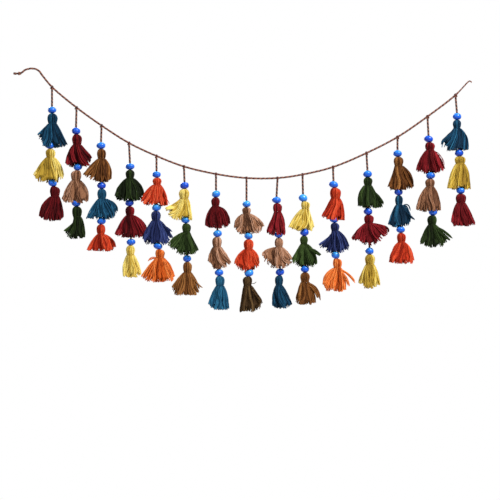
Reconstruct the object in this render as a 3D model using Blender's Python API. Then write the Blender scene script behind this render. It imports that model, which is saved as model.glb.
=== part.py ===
"""Tassel garland: a knotted main cord with fifteen hanging strings, and on each string
three glazed beads and three yarn tassels, top, middle and bottom.

Metres, +Z up. The front of the garland faces -Y and its cord lies in the plane y = 0.
The origin is the point of the main cord that the left-hand nail carries.
"""

import math
from typing import NamedTuple

import bmesh
import bpy
from mathutils import Vector

MM = 0.001

# Driving sizes, in millimetres.
CORD_RADIUS = 1.7
CLEARANCE = 0.35
LOOP_RADIUS = 3.4
LOOP_THICKNESS = 1.1
LOOP_TO_STRING = 3.75
END_KNOT_RADIUS = 4.4
BEAD_RADIUS = 8.3
BEAD_HALF_HEIGHT = 6.2
HEAD_RADIUS = 9.4
HEAD_HALF_HEIGHT = 8.9
HEAD_BELOW_BEAD = 15.6
NECK_BELOW_BEAD = 24.0
NECK_RADIUS = 7.2
SKIRT_LEAST_DEPTH = 15.0
BEAD_ROOM = 10.0
OPEN_ROOM = 3.5

# Sides round a cord are twice this plus four.
CORD_BEVEL_RESOLUTION = 2
POINTS_BETWEEN_KNOTS = 3

# A bead's outline from top to bottom: radius as a share, or the string's own, and height.
BEAD_STEPS = (
    (None, 1.02),
    (0.87, 0.55),
    (1.0, 0.0),
    (0.87, -0.55),
    (None, -1.02),
)
# A head's outline from top to bottom, as shares of its radius and half height.
HEAD_OUTLINE = (
    (0.62, 0.82),
    (1.0, 0.15),
    (0.93, -0.45),
)
HEAD_TOP = 0.97

# Shape of a skirt, as shares and angles.
SKIRT_DEPTH_SHARE = 0.62
SKIRT_BACK_SHARE = 0.8
SKIRT_FULLNESS = 0.8
SKIRT_TURN = math.radians(13)
PUFF_SHARE = 0.5
HEAD_SIDES = 12
LOCK_COUNT = 6
LOCK_HALF_ANGLE = math.radians(26)
LOCK_STEPS = (0.45, 1.0)
TIERS = ("top", "middle", "bottom")

# Colours of the yarns, the beads and the cord, as sRGB hex values.
COLOURS = {
    "yarn_teal": "1F5572",
    "yarn_yellow": "D8BE4A",
    "yarn_red": "7D1A20",
    "yarn_tan": "9A7458",
    "yarn_green": "2A421C",
    "yarn_ochre": "925C26",
    "yarn_scarlet": "D8431F",
    "yarn_navy": "222B5C",
    "yarn_orange": "D9631E",
    "yarn_olive": "584322",
    "bead": "2A6FE6",
    "cord": "6E3B26",
}


class Tassel(NamedTuple):
    """One tassel and the bead above it, in millimetres.

    side and down place the bead's centre from the knot on the main cord, lean is how far
    the tassel's head stands to the right of the bead, and length runs from the bead's
    centre to the lowest yarn end. left and right are the reaches of the skirt's two
    corners from the head's middle, and left_up and right_up their heights above the
    lowest end. A puff is 0 for a straight side, 1 for a full round shoulder and below 0
    for a hollow side that flicks out at its end.
    """

    yarn: str
    side: float
    down: float
    lean: float
    length: float
    left: float
    left_up: float
    left_puff: float
    right: float
    right_up: float
    right_puff: float


class Drop(NamedTuple):
    """One hanging string: where it is knotted to the main cord, and its tassels."""

    x: float
    z: float
    tassels: tuple


DROPS = (
    Drop(20, -24, (
        Tassel("teal", 0, 46, 1, 75, 29, 26, 0.0, 28, 8, 0.0),
        Tassel("yellow", -4, 117, 1, 73, 33, 15, 0.2, 26, 14, 0.5),
        Tassel("red", 1, 192, 5, 75, 32, 11, 0.6, 16, 6, 0.7),
    )),
    Drop(69, -65, (
        Tassel("red", -1, 47, 2, 71, 23, 7, 0.4, 29, 19, 0.1),
        Tassel("tan", 3, 119, -4, 72, 27, 7, 0.3, 24, 7, 1.0),
        Tassel("green", -1, 191, 2, 71, 25, 16, -0.8, 15, 5, 0.9),
    )),
    Drop(119, -101, (
        Tassel("ochre", -1, 40, 1, 73, 36, 16, 0.1, 19, 6, 0.9),
        Tassel("teal", 0, 120, 1, 67, 31, 2, 0.2, 31, 18, 0.7),
        Tassel("scarlet", 0, 191, -1, 60, 27, 3, 0.0, 28, 9, 0.3),
    )),
    Drop(174, -136, (
        Tassel("green", 2, 47, 0, 69, 29, 13, 0.0, 28, 12, 0.4),
        Tassel("red", 1, 120, 1, 69, 29, 9, 0.0, 34, 9, 0.7),
        Tassel("yellow", 4, 198, -1, 70, 14, 3, 0.6, 21, 9, 0.2),
    )),
    Drop(229, -162, (
        Tassel("scarlet", 0, 37, 1, 62, 31, 8, 0.5, 21, 2, 0.6),
        Tassel("navy", 0, 103, -1, 74, 27, 12, 0.2, 33, 16, 0.2),
        Tassel("orange", 3, 180, 4, 71, 38, 11, 0.1, 29, 11, 0.4),
    )),
    Drop(284, -183, (
        Tassel("yellow", 1, 38, -1, 68, 37, 23, -0.3, 15, 0, 0.7),
        Tassel("green", 3, 107, 2, 69, 37, 19, 0.4, 24, 9, -0.1),
        Tassel("ochre", 6, 184, 1, 73, 32, 16, 0.1, 24, 14, 0.2),
    )),
    Drop(348, -198, (
        Tassel("red", 0, 40, -1, 68, 20, 9, 0.3, 30, 12, 0.9),
        Tassel("tan", 3, 119, -1, 71, 17, 16, 0.5, 27, 14, 0.2),
        Tassel("teal", 6, 197, 2, 74, 23, 13, 0.2, 17, 3, 0.7),
    )),
    Drop(409, -206, (
        Tassel("tan", 0, 52, 0, 60, 23, 14, 0.5, 35, 17, 0.5),
        Tassel("scarlet", 4, 116, 0, 71, 29, 15, 0.4, 22, 13, 0.4),
        Tassel("olive", 5, 190, -3, 76, 15, 0, 0.2, 29, 15, 0.2),
    )),
    Drop(471, -206, (
        Tassel("red", -2, 44, 2, 70, 21, 11, -0.1, 15, 3, 0.9),
        Tassel("tan", 2, 113, 1, 67, 33, 25, 0.6, 27, 18, 0.1),
        Tassel("teal", 5, 188, -2, 72, 13, 6, 0.8, 26, 8, 0.2),
    )),
    Drop(521, -199, (
        Tassel("yellow", 0, 47, 6, 65, 33, 8, 0.1, 17, 8, 0.0),
        Tassel("green", 4, 116, -1, 69, 25, 15, 0.0, 34, 23, 0.2),
        Tassel("ochre", 5, 189, 0, 70, 18, 12, 0.2, 21, 4, 0.6),
    )),
    Drop(582, -184, (
        Tassel("scarlet", 1, 35, 4, 71, 28, 8, 0.0, 18, 1, 0.8),
        Tassel("navy", 2, 105, 2, 67, 33, 18, -0.5, 29, 13, 0.4),
        Tassel("orange", 5, 176, 4, 72, 28, 14, 0.5, 21, 6, 0.6),
    )),
    Drop(649, -156, (
        Tassel("green", 2, 42, 1, 68, 20, 8, 0.8, 30, 4, 0.0),
        Tassel("red", 3, 117, 2, 68, 35, 18, 0.4, 40, 27, 0.9),
        Tassel("yellow", 6, 196, 1, 74, 24, 9, 0.1, 20, 7, 0.4),
    )),
    Drop(711, -124, (
        Tassel("ochre", 0, 33, 2, 73, 21, 8, -0.2, 31, 10, 0.7),
        Tassel("teal", 2, 110, 1, 70, 22, 6, 0.2, 23, 12, 0.9),
        Tassel("scarlet", 6, 185, 2, 68, 24, 5, 0.6, 26, 8, 0.5),
    )),
    Drop(771, -83, (
        Tassel("red", 2, 45, 3, 68, 28, 8, 0.1, 30, 10, 0.3),
        Tassel("tan", 6, 118, -1, 71, 28, 4, 0.4, 21, 2, 0.6),
        Tassel("green", 11, 191, -2, 70, 24, 10, 0.2, 30, 11, 0.3),
    )),
    Drop(827, -40, (
        Tassel("teal", 3, 43, 0, 68, 33, 17, -0.1, 23, 2, 0.8),
        Tassel("yellow", 7, 116, 2, 72, 25, 3, 0.0, 21, 3, 0.7),
        Tassel("red", 10, 191, 1, 71, 20, 8, 0.2, 29, 7, 0.1),
    )),
)

# The loose left-hand tail of the main cord, from its cut end to the nail, as (x, z).
LEFT_TAIL = (
    (-57, 3),
    (-51, 3),
    (-45, 3),
    (-39, 6),
    (-34, 10),
    (-28, 12),
    (-21, 13),
    (-13, 12),
    (-6, 8),
    (0, 0),
)
LEFT_KNOT = 2
# Its right-hand end, over the other nail, as (x, z).
RIGHT_END = (
    (856, -12),
    (861, -17),
)

def linear(channel):
    """One sRGB channel, 0 to 1, as a linear one."""
    if channel <= 0.04045:
        return channel / 12.92
    return ((channel + 0.055) / 1.055) ** 2.4


def material(name):
    """The Principled material of that slot, made once."""
    found = bpy.data.materials.get(name)
    if found:
        return found
    made = bpy.data.materials.new(name)
    made.use_nodes = True
    shader = made.node_tree.nodes["Principled BSDF"]
    digits = COLOURS[name]
    channels = [int(digits[i : i + 2], 16) / 255 for i in (0, 2, 4)]
    shader.inputs["Base Color"].default_value = (*map(linear, channels), 1.0)
    shader.inputs["Roughness"].default_value = 0.25 if name == "bead" else 0.9
    shader.inputs["Metallic"].default_value = 0.0
    return made


def new_collection(name):
    """An empty collection in the scene."""
    made = bpy.data.collections.new(name)
    bpy.context.scene.collection.children.link(made)
    return made


def new_object(name, mesh, collection):
    """A mesh made an object of that collection."""
    made = bpy.data.objects.new(name, mesh)
    collection.objects.link(made)
    return made


def tube(name, points, radii, collection):
    """A round tube of changing radius along points, all in millimetres, as a closed mesh object."""
    curve = bpy.data.curves.new(name, "CURVE")
    curve.dimensions = "3D"
    curve.bevel_depth = MM
    curve.bevel_resolution = CORD_BEVEL_RESOLUTION
    curve.use_fill_caps = True
    spline = curve.splines.new("POLY")
    spline.points.add(len(points) - 1)
    for point, place, radius in zip(spline.points, points, radii):
        point.co = (*(place * MM), 1.0)
        point.radius = radius
    line = new_object(name + "_line", curve, collection)
    bpy.context.view_layer.update()
    graph = bpy.context.evaluated_depsgraph_get()
    mesh = bpy.data.meshes.new_from_object(line.evaluated_get(graph))
    bpy.data.objects.remove(line)
    bpy.data.curves.remove(curve)
    shape = bmesh.new()
    shape.from_mesh(mesh)
    bmesh.ops.remove_doubles(shape, verts=shape.verts, dist=0.01 * MM)
    bmesh.ops.recalc_face_normals(shape, faces=shape.faces)
    for face in shape.faces:
        face.smooth = True
    shape.to_mesh(mesh)
    shape.free()
    mesh.name = name
    return new_object(name, mesh, collection)


def fuse(target, other):
    """Joins other to target as one solid, and removes other."""
    union = target.modifiers.new("Fuse", "BOOLEAN")
    union.operation = "UNION"
    union.solver = "EXACT"
    union.object = other
    bpy.context.view_layer.update()
    graph = bpy.context.evaluated_depsgraph_get()
    mesh = bpy.data.meshes.new_from_object(target.evaluated_get(graph))
    target.modifiers.clear()
    target.data = mesh
    bpy.data.objects.remove(other)


def bead_centre(drop, tassel):
    """Centre of the bead above a tassel."""
    return Vector((drop.x + tassel.side, 0, drop.z - tassel.down))


def bead_slope(tassel):
    """How far the string moves to the right for each millimetre down through bead and head."""
    return tassel.lean / HEAD_BELOW_BEAD


def below_bead(drop, tassel, fall):
    """Point of the string at a height below the centre of a bead, in that bead or its tassel."""
    return bead_centre(drop, tassel) + Vector((bead_slope(tassel) * fall, 0, -fall))


def string_line(drop, first):
    """Points and radii of a drop's string from its first point, swelling to a bead at each tassel."""
    points = [first]
    radii = [CORD_RADIUS]
    for tassel in drop.tassels:
        for share, step in BEAD_STEPS:
            points.append(below_bead(drop, tassel, -step * BEAD_HALF_HEIGHT))
            radii.append(share * BEAD_RADIUS if share else CORD_RADIUS)
        points.append(below_bead(drop, tassel, NECK_BELOW_BEAD))
        radii.append(CORD_RADIUS)
    return points, radii


def string_side(drop, tassel, height):
    """How far to the right a drop's string is at a height inside a tassel's skirt."""
    top = below_bead(drop, tassel, NECK_BELOW_BEAD)
    place = drop.tassels.index(tassel) + 1
    if place == len(drop.tassels) or height > top.z:
        return top.x
    below = drop.tassels[place]
    bottom = below_bead(drop, below, -BEAD_HALF_HEIGHT)
    share = min(1.0, (top.z - height) / (top.z - bottom.z))
    return top.x + share * (bottom.x - top.x)


def cord_slope(index):
    """Slope of the main cord at a drop's knot, as an angle."""
    route = [LEFT_TAIL[-1], *((drop.x, drop.z) for drop in DROPS), RIGHT_END[0]]
    (x0, z0), (x1, z1) = route[index], route[index + 2]
    return math.atan2(z1 - z0, x1 - x0)


def make_loop(index, collection):
    """The loop that ties a drop's string round the main cord, square to the cord."""
    drop = DROPS[index]
    bpy.ops.mesh.primitive_torus_add(
        major_segments=8,
        minor_segments=4,
        major_radius=LOOP_RADIUS * MM,
        minor_radius=LOOP_THICKNESS * MM,
        location=(drop.x * MM, 0, drop.z * MM),
        rotation=(0, math.radians(90) - cord_slope(index), 0),
    )
    loop = bpy.context.object
    bpy.ops.object.transform_apply(location=True, rotation=True, scale=True)
    for owner in list(loop.users_collection):
        owner.objects.unlink(loop)
    collection.objects.link(loop)
    return loop


def paint(obj, drop):
    """Gives a string's beads the bead material, and all else on it the cord's."""
    obj.data.materials.clear()
    obj.data.materials.append(material("cord"))
    obj.data.materials.append(material("bead"))
    centres = [bead_centre(drop, tassel) * MM for tassel in drop.tassels]
    for face in obj.data.polygons:
        near = any((face.center - centre).length < BEAD_RADIUS * MM for centre in centres)
        face.material_index = int(near)


def make_string(index, name, gap, collection):
    """A drop's string with its three beads and the loop at its top, gap away from the cord's middle."""
    drop = DROPS[index]
    slope = cord_slope(index)
    first = Vector((drop.x + gap * math.sin(slope), 0, drop.z - gap * math.cos(slope)))
    points, radii = string_line(drop, first)
    string = tube(name, points, radii, collection)
    fuse(string, make_loop(index, collection))
    paint(string, drop)
    return string


def between(a, b, c, d, share):
    """A point of the smooth curve from b to c, with a and d before and after them."""
    square = share * share
    cube = share * square
    return (
        2 * b
        + (c - a) * share
        + (2 * a - 5 * b + 4 * c - d) * square
        + (3 * b - a - 3 * c + d) * cube
    ) / 2


def cord_line():
    """Points and radii of the main cord from its knotted left end to its right end."""
    knots = [(drop.x, drop.z) for drop in DROPS]
    route = [Vector((x, 0, z)) for x, z in (*LEFT_TAIL, *knots, *RIGHT_END)]
    around = [route[0], *route, route[-1]]
    first_span = len(LEFT_TAIL) - 1
    last_span = first_span + len(DROPS)
    points = []
    radii = []
    for i, (a, b, c, d) in enumerate(zip(around, around[1:], around[2:], around[3:])):
        count = POINTS_BETWEEN_KNOTS if first_span <= i < last_span else 1
        for step in range(count):
            points.append(between(a, b, c, d, step / count))
            radii.append(END_KNOT_RADIUS if i == LEFT_KNOT else CORD_RADIUS)
    points.append(route[-1])
    radii.append(CORD_RADIUS)
    return points, radii


def make_main_cord(collection):
    """The main cord, with the last drop's string, which is tied into its right-hand end."""
    points, radii = cord_line()
    cord = tube("main_cord", points, radii, collection)
    last = len(DROPS) - 1
    fuse(cord, make_string(last, "last_string", 0, collection))
    paint(cord, DROPS[last])
    return cord


def turned(across, deep, share):
    """A direction from the string, as x and y, with the skirt's twist at that share of its length."""
    turn = SKIRT_TURN * share
    return Vector((
        across * math.cos(turn) - deep * math.sin(turn),
        deep * math.cos(turn) + across * math.sin(turn),
        0,
    ))


def skirt_corner(drop, tassel, angle, outer, share):
    """A corner of a lock of yarn, on the skirt's outer surface or on its inner one.

    angle goes round the skirt from its right-hand corner by way of the front, and share runs
    from 0 at the neck to 1 at the yarn ends.
    """
    across = math.cos(angle)
    deep = -math.sin(angle)
    reach, up, puff = (
        (tassel.right, tassel.right_up, tassel.right_puff)
        if across > 0
        else (tassel.left, tassel.left_up, tassel.left_puff)
    )
    neck = below_bead(drop, tassel, NECK_BELOW_BEAD).z
    lowest = bead_centre(drop, tassel).z - tassel.length
    height = neck + (lowest + up * across**2 - neck) * share
    if not outer:
        bore = bore_radius(tassel)
        room = OPEN_ROOM if tassel is drop.tassels[-1] else BEAD_ROOM
        middle = Vector((string_side(drop, tassel, height), 0, height))
        return middle + turned(across, deep, share) * (bore + (room - bore) * share)
    depth = max(SKIRT_LEAST_DEPTH, SKIRT_DEPTH_SHARE * (tassel.left + tassel.right) / 2)
    if deep > 0:
        depth *= SKIRT_BACK_SHARE
    spread = share + puff * across**2 * PUFF_SHARE * math.sin(math.pi * share)
    wide = NECK_RADIUS + (reach - NECK_RADIUS) * spread
    thick = NECK_RADIUS + (depth - NECK_RADIUS) * share**SKIRT_FULLNESS
    head = below_bead(drop, tassel, HEAD_BELOW_BEAD)
    return Vector((head.x, 0, height)) + turned(across * wide, deep * thick, share)


def bore_radius(tassel):
    """Level radius of the hole that a slanting string needs through a head."""
    return (CORD_RADIUS + CLEARANCE) * math.hypot(1, bead_slope(tassel))


def spin_head(drop, tassel):
    """A bored, ball-shaped head down to its neck, as a bmesh in millimetres."""
    head = below_bead(drop, tassel, HEAD_BELOW_BEAD)
    neck = below_bead(drop, tassel, NECK_BELOW_BEAD)
    bore = bore_radius(tassel)
    outline = [(bore, head.z + HEAD_TOP * HEAD_HALF_HEIGHT)]
    for wide, high in HEAD_OUTLINE:
        outline.append((wide * HEAD_RADIUS, head.z + high * HEAD_HALF_HEIGHT))
    outline += [(NECK_RADIUS, neck.z), (bore, neck.z)]
    shape = bmesh.new()
    start = math.pi / HEAD_SIDES
    verts = [
        shape.verts.new((radius * math.cos(start), radius * math.sin(start), height))
        for radius, height in outline
    ]
    edges = [shape.edges.new(pair) for pair in zip(verts, verts[1:] + verts[:1])]
    bmesh.ops.spin(
        shape,
        geom=verts + edges,
        axis=(0, 0, 1),
        cent=(0, 0, 0),
        angle=math.tau,
        steps=HEAD_SIDES,
        use_merge=True,
    )
    bmesh.ops.remove_doubles(shape, verts=shape.verts, dist=0.01)
    return shape


def draw_locks(shape, drop, tassel, roots):
    """Draws the root faces down into locks of yarn, one section for each step."""
    middle, side, outer = (shape.verts.layers.float[name] for name in ("middle", "side", "outer"))
    for share in LOCK_STEPS:
        roots = bmesh.ops.extrude_discrete_faces(shape, faces=roots)["faces"]
        for face in roots:
            for vert in face.verts:
                angle = vert[middle] + vert[side] * LOCK_HALF_ANGLE
                vert.co = skirt_corner(drop, tassel, angle, vert[outer] > 0.5, share)


def make_tassel(name, drop, tassel, collection):
    """A tassel: its head, and the locks of its skirt fused to the head's foot."""
    shape = spin_head(drop, tassel)
    head = below_bead(drop, tassel, HEAD_BELOW_BEAD)
    foot = min(vert.co.z for vert in shape.verts)
    bore = bore_radius(tassel)
    layers = shape.verts.layers.float
    middle, side, outer = (layers.new(word) for word in ("middle", "side", "outer"))
    roots = []
    for face in shape.faces:
        if max(vert.co.z for vert in face.verts) > foot + 0.1:
            continue
        centre = face.calc_center_median()
        angle = math.degrees(math.atan2(-centre.y, centre.x)) % 360
        if round(angle - 30) % (360 // LOCK_COUNT):
            continue
        roots.append(face)
        for vert in face.verts:
            vert[middle] = math.radians(angle)
            offset = (math.degrees(math.atan2(-vert.co.y, vert.co.x)) - angle + 180) % 360 - 180
            vert[side] = math.copysign(1, offset)
            vert[outer] = float(vert.co.xy.length > bore + 1)
    for vert in shape.verts:
        if vert.co.xy.length > bore + 1:
            vert.co.x += head.x
        else:
            fall = bead_centre(drop, tassel).z - vert.co.z
            vert.co.x += below_bead(drop, tassel, fall).x
    draw_locks(shape, drop, tassel, roots)
    bmesh.ops.recalc_face_normals(shape, faces=shape.faces)
    bmesh.ops.scale(shape, verts=shape.verts, vec=(MM, MM, MM))
    for face in shape.faces:
        face.smooth = True
    mesh = bpy.data.meshes.new(name)
    shape.to_mesh(mesh)
    shape.free()
    mesh.materials.append(material("yarn_" + tassel.yarn))
    return new_object(name, mesh, collection)


def main():
    """Builds the garland from an empty scene."""
    for obj in list(bpy.data.objects):
        bpy.data.objects.remove(obj, do_unlink=True)
    parts = new_collection("tassel_garland")
    make_main_cord(parts)
    for index in range(len(DROPS) - 1):
        make_string(index, f"string_{index + 1:02d}", LOOP_TO_STRING, parts)
    for number, drop in enumerate(DROPS, start=1):
        for tier, tassel in zip(TIERS, drop.tassels):
            make_tassel(f"tassel_{number:02d}_{tier}", drop, tassel, parts)


if __name__ == "__main__":
    main()
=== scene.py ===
"""Hanging garland of wool tassels and glazed clay beads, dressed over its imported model.

A slack twisted cord carries fifteen strings. Each string is tied to the cord with a small
knot and runs through three beads and three tassels. Lengths are in millimetres until they
reach Blender, the front faces -Y, and the origin is the left-hand hanging point.
"""

import logging
import math
import random
from collections.abc import Callable, Iterator, Sequence
from contextlib import contextmanager
from dataclasses import dataclass, field
from enum import Enum

import bmesh
import bpy
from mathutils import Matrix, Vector


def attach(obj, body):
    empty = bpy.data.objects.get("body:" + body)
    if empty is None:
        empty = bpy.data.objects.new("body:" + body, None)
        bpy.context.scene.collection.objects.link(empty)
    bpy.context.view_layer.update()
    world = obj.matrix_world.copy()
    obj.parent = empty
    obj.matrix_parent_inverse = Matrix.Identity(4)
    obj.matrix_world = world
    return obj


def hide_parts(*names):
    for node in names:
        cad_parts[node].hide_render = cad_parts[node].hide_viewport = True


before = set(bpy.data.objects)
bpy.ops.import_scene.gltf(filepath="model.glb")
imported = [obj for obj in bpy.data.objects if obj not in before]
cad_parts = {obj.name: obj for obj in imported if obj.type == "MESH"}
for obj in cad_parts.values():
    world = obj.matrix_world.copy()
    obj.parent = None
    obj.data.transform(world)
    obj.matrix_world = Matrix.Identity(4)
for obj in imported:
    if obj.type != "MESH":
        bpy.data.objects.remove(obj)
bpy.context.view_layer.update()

log = logging.getLogger("garland")

MM = 0.001
BODY = "root"

# Sizes shared by every string, in millimetres.
BEAD_RADIUS = 8.3
BEAD_HALF_HEIGHT = 6.2
HEAD_HALF_HEIGHT = 8.9
HEAD_BELOW_BEAD = 15.6
NECK_BELOW_BEAD = 24.0
STRAND_RADIUS = 1.0


class Yarn(Enum):
    """The dyed wools that the tassels are made of."""

    TEAL = "yarn_teal"
    YELLOW = "yarn_yellow"
    RED = "yarn_red"
    TAN = "yarn_tan"
    GREEN = "yarn_green"
    OCHRE = "yarn_ochre"
    SCARLET = "yarn_scarlet"
    NAVY = "yarn_navy"
    ORANGE = "yarn_orange"
    OLIVE = "yarn_olive"


class Glaze(Enum):
    """How thickly a bead's glaze lies, as its shade against an even coat."""

    DEEP = -0.26
    EVEN = 0.0
    PALE = 0.2


class Tier(Enum):
    """The three places of a tassel on its string."""

    TOP = "top"
    MIDDLE = "middle"
    BOTTOM = "bottom"


@dataclass(frozen=True)
class Lay:
    """How one tassel and the bead above it hang, in millimetres.

    side and down place the bead's centre from the knot on the cord, lean is how far the
    head stands to the right of the bead, and length runs from the bead's centre to the
    lowest yarn end. Each corner of the skirt has its reach from the head's middle, its
    height above the lowest end, and its puff: 0 for a straight side, 1 for a full round
    shoulder, and below 0 for a hollow side that flicks out at its end. head is the
    radius of the ball, and neck runs from the bead's centre to its binding.
    shade says how much lighter than its dye lot the tassel is, and below 0 how much darker.
    hem says how squarely the yarn ends turn up to the corners, from 1 for a plain V, and
    glaze how the bead is coated. sweep is how far round the yarn turns on its way down,
    in radians: to the left across the front, or below 0 to the right.
    """

    yarn: Yarn
    side: float
    down: float
    lean: float
    length: float
    left: float
    left_up: float
    left_puff: float
    right: float
    right_up: float
    right_puff: float
    head: float
    neck: float
    shade: float
    hem: float = 6.5
    glaze: Glaze = Glaze.EVEN
    sweep: float = 0.0


@dataclass(frozen=True)
class Drop:
    """One hanging string: where it is knotted to the cord, and the tassels down it."""

    x: float
    z: float
    tassels: tuple[Lay, Lay, Lay]


@dataclass(frozen=True)
class Loose:
    """A lock of yarn that has sprung out of a skirt.

    Its strands leave at start, pass near bend and end at tip, which are places across
    and down from the neck. The lock is spread thick on each side of its middle.
    """

    strands: int
    start: tuple[float, float]
    bend: tuple[float, float]
    tip: tuple[float, float]
    spread: float = 0.0


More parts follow.
